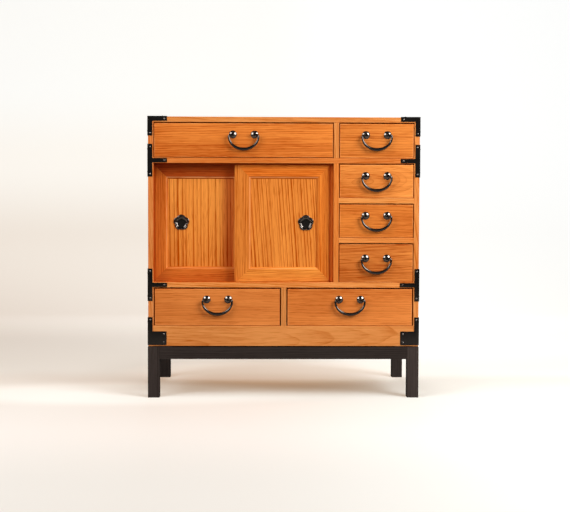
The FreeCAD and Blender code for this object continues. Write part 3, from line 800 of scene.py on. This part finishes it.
# %% Door members
DOOR_WIDTH, DOOR_THICK, MEMBER, MOULD, MOULD_DEPTH = 218.5, 18.0, 37.0, 5.5, 5.0
TONGUE, GROOVE, PANEL_BACK, HAIRLINE = (5.0, 12.0), 31.0, 11.0, 0.03
LOW_SHOULDER, HIGH_SHOULDER = 4.6, 3.6
EASED, NEAR = 0.5, 0.1


def member_outline(start, tongued):
    """A section in (depth behind the face, distance from the outer edge), some with a tongue."""
    front, back = TONGUE
    tongue = [(front, start), (front, 0), (back, 0), (back, start)] if tongued else []
    return tongue + [
        (DOOR_THICK, start), (DOOR_THICK, MEMBER), (PANEL_BACK, MEMBER), (PANEL_BACK, GROOVE),
        (MOULD_DEPTH, GROOVE), (MOULD_DEPTH, MEMBER), (0, MEMBER - MOULD), (0, start)]


def cut_off(form, spot, normal):
    """Saws away what lies beyond a plane and closes the cut."""
    everything = form.verts[:] + form.edges[:] + form.faces[:]
    cut = bmesh.ops.bisect_plane(
        form, geom=everything, plane_co=spot, plane_no=normal, clear_outer=True)
    bmesh.ops.edgeloop_fill(form, edges=only(BMEdge, cut["geom_cut"]))


def door_member(outline, length, before, after):
    """A member along X with its outer edge at z 0, mitred and then trimmed square at both ends."""
    form = bmesh.new()
    section = form.faces.new([form.verts.new((0, y * MM, z * MM)) for y, z in outline])
    draw_out(form, section, (length * MM, 0, 0))
    mouldings = [e for e in form.edges
                 if abs(e.verts[0].co.x - e.verts[1].co.x) > length * MM / 2
                 and e.verts[0].co.y < (MOULD_DEPTH + NEAR) * MM
                 and e.verts[0].co.z > (GROOVE + NEAR) * MM]
    round_edges(form, mouldings, EASED, 3)
    cut_off(form, (HAIRLINE * MM, 0, 0), (-1, 0, 1))
    cut_off(form, ((length - HAIRLINE) * MM, 0, 0), (1, 0, 1))
    if before:
        cut_off(form, (before * MM, 0, 0), (-1, 0, 0))
    if after:
        cut_off(form, ((length - after) * MM, 0, 0), (1, 0, 0))
    return form


# %% [markdown]
# The outer stile of the front door has a lip that is set back a little from its face. It is a strip
# of its own here, with square ends, so the frame's mitres stay simple. The rear door has its outer
# stile trimmed by the same amount. A member is trimmed by the margins of its two neighbours.

# %% Frame of a door
LIP, LIP_BACK, LIP_INTO = 8.0, 2.5, 1.0


def lip_strip(height):
    """The lip about its own middle."""
    form = bmesh.new()
    bmesh.ops.create_cube(form, size=1.0)
    size = Vector((LIP + LIP_INTO, TONGUE[1] - LIP_BACK, height - LOW_SHOULDER - HIGH_SHOULDER))
    bmesh.ops.scale(form, vec=size * MM, verts=form.verts[:])
    upright = [e for e in form.edges if abs(e.verts[0].co.z - e.verts[1].co.z) > NEAR * MM]
    round_edges(form, upright, EASED, 2)
    return form


def door_frame(height, origin, outer):
    """Lower rail, right stile, upper rail and left stile, and the lip where the right is outer."""
    whole = bmesh.new()
    turns = ((0, DOOR_WIDTH, 0, 0), (90, height, DOOR_WIDTH, 0),
             (180, DOOR_WIDTH, DOOR_WIDTH, height), (270, height, 0, height))
    margins = [LOW_SHOULDER, LIP if outer == "right" else 0, HIGH_SHOULDER,
               LIP if outer == "left" else 0]
    for index, (angle, length, x, z) in enumerate(turns):
        outline = member_outline(margins[index], tongued=index % 2 == 0)
        part = door_member(outline, length, margins[index - 1], margins[(index + 1) % len(turns)])
        place = Matrix.Translation(origin + Vector((x, 0, z)) * MM) @ turn("Y", -angle)
        add_form(whole, part, place, index)
    if outer == "right":
        middle = Vector((DOOR_WIDTH - (LIP + LIP_INTO) / 2, (LIP_BACK + TONGUE[1]) / 2,
                         (height + LOW_SHOULDER - HIGH_SHOULDER) / 2))
        add_form(whole, lip_strip(height), Matrix.Translation(origin + middle * MM), len(turns))
    return whole


# %% [markdown]
# The mouldings are made paler, more on some members than on others. They are the only part of the
# members that shows behind the face, so a point's depth behind the face is mask enough. Along the
# top of the front door, where it runs close under the shelf, a dark line is a painted shadow of the
# shelf.

# %% Pale mouldings and painted shadow line
CREST = ((0.08, 0), (0.3, 1), (0.6, 1), (0.85, 0))
CREST_DEPTH, TOP_LINE, PALE_SPOTS, PALE_SEED = 4, 4, (25, 25, 25), 3.0
paler_and_shade, given, shown = node_group("pale_mouldings", dict(Float=["Face", "Paler Share", "Top"]), PALER_AND_SHADE)
where = object_point(paler_and_shade)
axes = axes_of(paler_and_shade, where)
behind = number(paler_and_shade, "SUBTRACT", axes["Y"], given["Face"])
moulded = ramp_over(paler_and_shade, behind, CREST_DEPTH, CREST)
patchy = ramp(paler_and_shade, mottle(paler_and_shade, where, PALE_SPOTS, PALE_SEED), ((0.35, 0.6), (0.6, 1)))
# Under the door's top edge the line is a painted shadow of the shelf.
below_top = number(paler_and_shade, "SUBTRACT", given["Top"], axes["Z"])
fill(paler_and_shade, shown, {"Paler": product(paler_and_shade, moulded, given["Paler Share"], patchy),
                     "Shade Line": ramp_over(paler_and_shade, below_top, TOP_LINE, ((0.3, 0.8), (1, 0)))})
print("moulding nodes:", len(paler_and_shade.nodes))

# %% [markdown]
# The strip of the rear panel next to the closed front door lies in its shade. There its colour is
# also painted darker and redder and loses its coat: a painted shadow, which moves with the rear
# door.

# %% Covered strip
# The strip's tint is painted shadow.
STRIP, STRIP_SHADOW_TINT = 40, (0.83, 0.6, 0.65, 1)
painted_shadow, _, shown = node_group("painted_shadow", {}, SHADE_OUTPUTS)
front_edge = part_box("front_door_frame")[0].x
to_edge = number(painted_shadow, "SUBTRACT", front_edge, axes_of(painted_shadow, object_point(painted_shadow))["X"])
shade_where(painted_shadow, shown, ramp_over(painted_shadow, to_edge, STRIP, ((0.35, 1), (1, 0))), STRIP_SHADOW_TINT)
print("covered strip ends at", round(front_edge / MM, 1), "mm")

# %% [markdown]
# Each member is a board with its own share of colour and its own share of paling. The rear door's
# upper member has a darker share, painted shade under the upper shelf, and its painted shadow line
# is put a metre up, out of the way. The lip has a paler and redder colour, painted light in its
# shaded slot beside the partition.

# %% Front and rear doors
# The lip's paler colours are painted light.
LIP_LIGHTENED, PALE_MOULDING = ((0.98, 0.265, 0.037), (0.87, 0.143, 0.011)), (0.93, 0.41, 0.15)
MEMBER_TREES, PANEL_TREE = 6.1, 31.0
FIRST_HEART, HEART_STEP = Vector((50, 380)), Vector((0, -40))
FIRST_LEAN, LEAN_STEP = Vector((30, 35)), Vector((0, -20))
door_cuts = {
    "front_door": dict(
        outer="right", tree=200.0, pale_shares=(0.3, 0.0, 0.8, 0.6), shade_line_lift=0.0,
        members=dict(lower=(1.08, 1.36, 1.42), right=(1.14, 1.21, 1.1), upper=(1.17, 1.17, 0.96),
                     left=(0.94, 1.02, 1.02), lip=1.0),
        panel=dict(lean=(10, 70), ring=6.5, share=(1.1, 1.14, 1.05))),
    "rear_door": dict(
        outer="left", tree=262.0, pale_shares=(0.25, 0.2, 1.0, 0.5), shade_line_lift=1.0,
        # The upper member's darker share is painted shade under the upper shelf.
        members=dict(lower=(0.84, 0.75, 0.68), right=0.9, upper=(0.76, 0.52, 0.5),
                     left=(1.11, 1.13, 1.05)),
        panel=dict(lean=(10, 5), ring=8.0, share=(1.16, 1.27, 1.2), fade=-1.5, hidden=painted_shadow)),
}
for door, cut in door_cuts.items():
    low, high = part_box(door + "_frame")
    members = []
    for index, (side, share) in enumerate(cut["members"].items()):
        if side == "lip":
            looks = dict(colours=LIP_LIGHTENED)
        else:
            places = {"Face": low.y, "Paler Share": cut["pale_shares"][index],
                      "Top": high.z - HIGH_SHOULDER * MM + cut["shade_line_lift"]}
            looks = dict(colours=RUSSET, paling=(paler_and_shade, places), paled_to=PALE_MOULDING)
        members.append(board_material(
            f"oiled_{door}_{side}_member", middle_of(door + "_frame"),
            "x" if side in ("lower", "upper") else "z", FIRST_HEART + HEART_STEP * index,
            FIRST_LEAN + LEAN_STEP * index, tree=cut["tree"] + MEMBER_TREES * index, share=share,
            **looks))
    trimmed = LIP * MM if cut["outer"] == "left" else 0.0
    form = door_frame((high.z - low.z) / MM, low - Vector((trimmed, 0, 0)), cut["outer"])
    make_piece(door + "_members", form, members, door, door + "_frame", sharp=30)
    finish_boards({door + "_panel": cut["panel"]}, "oiled", cut["tree"] + PANEL_TREE, 0, grain="z",
                  heart=(60, 190), contrast=1.1, mottling=0.6, wander=5.0)
print("doors:", len(door_cuts))

# %% [markdown]
# ## Finger pulls
# Each door is pulled by a cup in the shape of a five-petalled plum blossom. Its outline is five
# arcs, each a vertex spun about a petal's middle. The outline is then extruded again and again,
# drawn in and pushed back, so one chain of rings makes the flat rim and the sloping cup. Towards
# its bottom the cup grows rounder, so a lamp leaves one glint in it and not one for each petal.
# Each ring has a size, a depth behind the panel's face and a share of roundness.

# %% Blossom cup
TIP, VALLEY, PETALS = 17.8, 15.07, 5
ROUND_CUP = (TIP + VALLEY) / 2
CUP_RINGS = [
    (0.83, 7.5, 0), (0.83, 0.2, 0), (1.0, 0.0, 0), (1.0, -1.4, 0), (0.99, -1.8, 0), (0.97, -2.0, 0),
    (0.83, -2.0, 0), (0.812, -1.88, 0.1), (0.8, -1.4, 0.2), (0.79, -0.4, 0.4), (0.775, 0.8, 0.6),
    (0.765, 2.4, 0.6), (0.755, 3.6, 0.6), (0.74, 4.6, 0.6), (0.715, 5.3, 0.6), (0.68, 5.8, 0.6),
    (0.62, 6.2, 0.6), (0.52, 6.42, 0.6), (0.4, 6.5, 0.6)]


def around(angle, distance):
    """A point at an angle and a distance in millimetres from the blossom's middle."""
    return Vector((math.cos(angle), 0, math.sin(angle))) * distance * MM


def blossom_ring(form):
    """Five arcs that meet in the valleys between the petals."""
    upright, half = math.tau / 4, math.tau / PETALS / 2
    petal = (TIP ** 2 - VALLEY ** 2) / (2 * (TIP - VALLEY * math.cos(half)))
    sweep = 2 * math.atan2(VALLEY * math.sin(half), VALLEY * math.cos(half) - petal)
    end = form.verts.new(around(upright - half, VALLEY))
    for index in range(PETALS):
        middle = around(upright + math.tau * index / PETALS, petal)
        arc = bmesh.ops.spin(form, geom=[end], cent=middle, axis=(0, -1, 0), angle=sweep, steps=10)
        end = only(BMVert, arc["geom_last"])[0]
    bmesh.ops.remove_doubles(form, verts=form.verts[:], dist=TOUCHING * MM)


def finger_pull():
    """Rim and cup about the blossom's middle, with the panel's face at y 0 and the cup behind."""
    form = bmesh.new()
    blossom_ring(form)
    edges = form.edges[:]
    size, depth, roundness = 1.0, 0.0, 0.0
    for step, (new_size, new_depth, new_roundness) in enumerate(CUP_RINGS):
        if step:
            edges = only(BMEdge, bmesh.ops.extrude_edge_only(form, edges=edges)["geom"])
        ring = list({v for e in edges for v in e.verts})
        bmesh.ops.translate(form, verts=ring, vec=(0, (new_depth - depth) * MM, 0))
        for vert in ring:
            spoke = Vector((vert.co.x, 0, vert.co.z))
            petal = (spoke.length / (size * MM) - roundness * ROUND_CUP) / (1 - roundness)
            reach = new_size * MM * (petal + new_roundness * (ROUND_CUP - petal))
            vert.co += spoke.normalized() * (reach - spoke.length)
        size, depth, roundness = new_size, new_depth, new_roundness
        if step in (0, len(CUP_RINGS) - 1):
            bmesh.ops.edgeloop_fill(form, edges=edges)
    return form


# %% [markdown]
# The pulls sit in the panels, with the tip of a petal at the top.

# %% Finger pulls
for door in door_cuts:
    low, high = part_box(door + "_pull")
    panel_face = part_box(door + "_panel")[0].y
    spot = Vector(((low.x + high.x) / 2, panel_face, high.z - TIP * MM))
    form = finger_pull()
    bmesh.ops.translate(form, verts=form.verts[:], vec=spot)
    make_piece(door + "_blossom_pull", form, [handle_iron], door, door + "_pull",
               sharp=50)
print("finger pulls:", len(door_cuts))

# %% [markdown]
# ## Corner irons
# The straps on the front corners are thin iron folded round the edge. On the real ones the surface
# rises towards a faint ridge along the middle. A leaf is drawn flat and thickened. Its face is then
# inset and lifted, which puts the ridge along each arm by itself, and its corners are rounded.

# %% Iron leaves
IRON, IRON_EDGE, IRON_BEVEL, IRON_LIFT, RIDGE, IRON_CORNER = 1.2, 0.75, 0.7, 0.22, 3.4, 0.6
FROM_FRONT = turn("X", 90)
FROM_SIDE = Matrix(((0, 0, -1, 0), (1, 0, 0, 0), (0, 1, 0, 0), (0, 0, 0, 1)))
FROM_TOP = Matrix.Diagonal((1, -1, 1, 1))
OTHER_CORNER = Matrix.Diagonal((-1, 1, 1, 1))


def iron_leaf(whole, outline, place):
    """A flat leaf in the XY plane with its face towards +Z, put in place by a matrix."""
    form = bmesh.new()
    back = form.faces.new([form.verts.new((x * MM, y * MM, 0)) for x, y in outline])
    face = draw_out(form, back, (0, 0, IRON_EDGE * MM))
    bmesh.ops.recalc_face_normals(form, faces=form.faces[:])
    for inset, lift in ((IRON_BEVEL, IRON_LIFT), (RIDGE, IRON - IRON_EDGE - IRON_LIFT)):
        bmesh.ops.inset_region(
            form, faces=[face], thickness=inset * MM, depth=lift * MM, use_even_offset=True)
    upright = [e for e in form.edges if (e.verts[0].co - e.verts[1].co).xy.length < TOUCHING * MM]
    round_edges(form, upright, IRON_CORNER, 2)
    add_form(whole, form, place, 0)


def folded_iron(whole, outline, height, ways):
    """One iron's leaves on both front corners, at a height in millimetres."""
    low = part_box("left_side_panel")[0]
    corner = Matrix.Translation((low.x, low.y, height * MM))
    for way in ways:
        iron_leaf(whole, outline, corner @ way)
        iron_leaf(whole, outline, OTHER_CORNER @ corner @ way)


# %% [markdown]
# The three kinds of iron differ in outline: a three-way corner at the top, which also has a leaf on
# the top panel, a tee on each shelf's end, and a block with a strap at the foot.

# %% Corner irons
STRAP, ARM, HALF_STRAP, HALF_TEE, EDGE = 9.6, 42.0, 4.8, 36.0, -IRON
FOOT_WIDE, FOOT_LOW, FOOT_HIGH, FOOT_END = 40.5, 2.2, 32.7, 64.2
corner_outline = [(EDGE, -ARM), (STRAP, -ARM), (STRAP, -STRAP), (ARM, -STRAP), (ARM, IRON),
                  (EDGE, IRON)]
tee_outline = [(EDGE, -HALF_TEE), (STRAP, -HALF_TEE), (STRAP, -HALF_STRAP), (ARM, -HALF_STRAP),
               (ARM, HALF_STRAP), (STRAP, HALF_STRAP), (STRAP, HALF_TEE), (EDGE, HALF_TEE)]
foot_outline = [(EDGE, FOOT_LOW), (FOOT_WIDE, FOOT_LOW), (FOOT_WIDE, FOOT_HIGH), (STRAP, FOOT_HIGH),
                (STRAP, FOOT_END), (EDGE, FOOT_END)]
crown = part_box("top_panel")[1].z / MM
chest_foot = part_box("left_side_panel")[0].z / MM
shelf_middles = [middle_of(shelf).z / MM for shelf in ("upper_shelf", "lower_shelf")]
two_ways = [FROM_FRONT, FROM_SIDE]
irons = {
    "top_corner": (corner_outline, [crown], two_ways + [FROM_TOP], "top_corner_brackets"),
    "tee": (tee_outline, shelf_middles, two_ways, "tee_brackets"),
    "foot": (foot_outline, [chest_foot], two_ways, "bottom_corner_brackets"),
}
for kind, (outline, heights, ways, node) in irons.items():
    whole = bmesh.new()
    for height in heights:
        folded_iron(whole, outline, height, ways)
    make_piece(kind + "_irons", whole, [strap_iron], "chest", node, sharp=12)
finish_node("bracket_nails", handle_iron)
print("kinds of iron:", len(irons))

# %% [markdown]
# ## Floor and backdrop
# The chest stands on a pale sweep: a floor that curves up behind it with no corner.

# %% Sweep
FLOOR_HALF, FLOOR_REAR, CURL, WALL = 4.0, 1.8, 1.2, 3.0
form = bmesh.new()
bmesh.ops.create_grid(form, x_segments=1, y_segments=1, size=FLOOR_HALF)
bmesh.ops.translate(form, verts=form.verts[:], vec=(0, FLOOR_REAR - FLOOR_HALF, 0))
rear_edge = next(e for e in form.edges if all(v.co.y > 0 for v in e.verts))
curl = bmesh.ops.spin(form, geom=[rear_edge, *rear_edge.verts], cent=(0, FLOOR_REAR, CURL),
                      axis=(1, 0, 0), angle=math.pi / 2, steps=24)
top_edge = only(BMEdge, curl["geom_last"])
wall = bmesh.ops.extrude_edge_only(form, edges=top_edge)["geom"]
bmesh.ops.translate(form, verts=only(BMVert, wall), vec=(0, 0, WALL))
bmesh.ops.recalc_face_normals(form, faces=form.faces[:])
sweep_mesh = bpy.data.meshes.new("sweep")
form.to_mesh(sweep_mesh)
form.free()
sweep_mesh.shade_smooth()
sweep = add_object("sweep", sweep_mesh)
print("sweep faces:", len(sweep_mesh.polygons))

# %% [markdown]
# The sweep is nearly white, but lighting it that brightly would spoil the timber and the irons. So
# it adds a little light of its own, which only the camera sees, and still takes the chest's shadow.
# The stronger lamp is on the right, so that side is whiter and the left one warmer. The floor is
# brighter again in two spots, each with a middle, a squeeze and a light: behind the chest, where
# light passes between the legs, and beside its left leg.

# %% Paper
LEFT_GLOW = (
    (0, (0.22, 0.09, 0.01)), (0.1, (0.35, 0.2, 0.115)), (0.216, (0.37, 0.22, 0.12)),
    (0.26, (0.42, 0.3, 0.21)), (0.376, (0.42, 0.3, 0.215)), (0.544, (0.59, 0.47, 0.38)),
    (0.76, (0.705, 0.605, 0.515)), (0.9, (0.815, 0.752, 0.682)), (1, (0.825, 0.8, 0.765)))
RIGHT_GLOW = (
    (0, (0.27, 0.17, 0.1)), (0.1, (0.42, 0.32, 0.24)), (0.216, (0.46, 0.36, 0.27)),
    (0.248, (0.6, 0.5, 0.41)), (0.368, (0.7, 0.64, 0.58)), (0.56, (0.8, 0.77, 0.73)),
    (1, (0.84, 0.83, 0.82)))
BRIGHT_SPOTS = (((0, 0.24, 0), (2.2, 3.8, 1), (0.17, 0.125, 0.1)),
                ((-0.36, -0.1, 0), (1.9, 5, 1), (0.12, 0.14, 0.14)))
RISE_START, RISE, RIGHTWARD, RIGHT_START = 1.0, 5.0, 2.0, 0.2
PAPER_UNSEEN, PAPER_SEEN = (0.265, 0.248, 0.23, 1), (0.55, 0.61, 0.62, 1)
paper, finish, shader = new_material("pale_paper")
where = object_point(finish)
axes = axes_of(finish, where)
rise = number(finish, "ADD", number(finish, "ADD", axes["Y"], axes["Z"]), RISE_START)
rise = number(finish, "DIVIDE", rise, RISE)
rays = finish.nodes.new("ShaderNodeLightPath").outputs
seen = number(finish, "MAXIMUM", rays["Is Camera Ray"], rays["Is Transmission Ray"])
rightward = ramp(finish, summed(finish, RIGHT_START, (axes["X"], RIGHTWARD)), ((0, 0), (1, 1)))
glow = blended(finish, rightward, ramp(finish, rise, LEFT_GLOW), ramp(finish, rise, RIGHT_GLOW))
for middle, squeeze, light in BRIGHT_SPOTS:
    away = point(finish, "SUBTRACT", where, middle)
    away = point(finish, "LENGTH", point(finish, "MULTIPLY", away, squeeze))
    fading = ((0, light), (0.5, tone(light, 0.9)[:3]), (1, 0))
    glow = point(finish, "ADD", glow, ramp(finish, away, fading))
fill(finish, shader, {
    "Base Color": blended(finish, seen, PAPER_UNSEEN, PAPER_SEEN), "Roughness": 0.9,
    "Specular IOR Level": 0.0, "Emission Color": glow, "Emission Strength": seen})
sweep_mesh.materials.append(paper)
print("paper nodes:", len(finish.nodes))
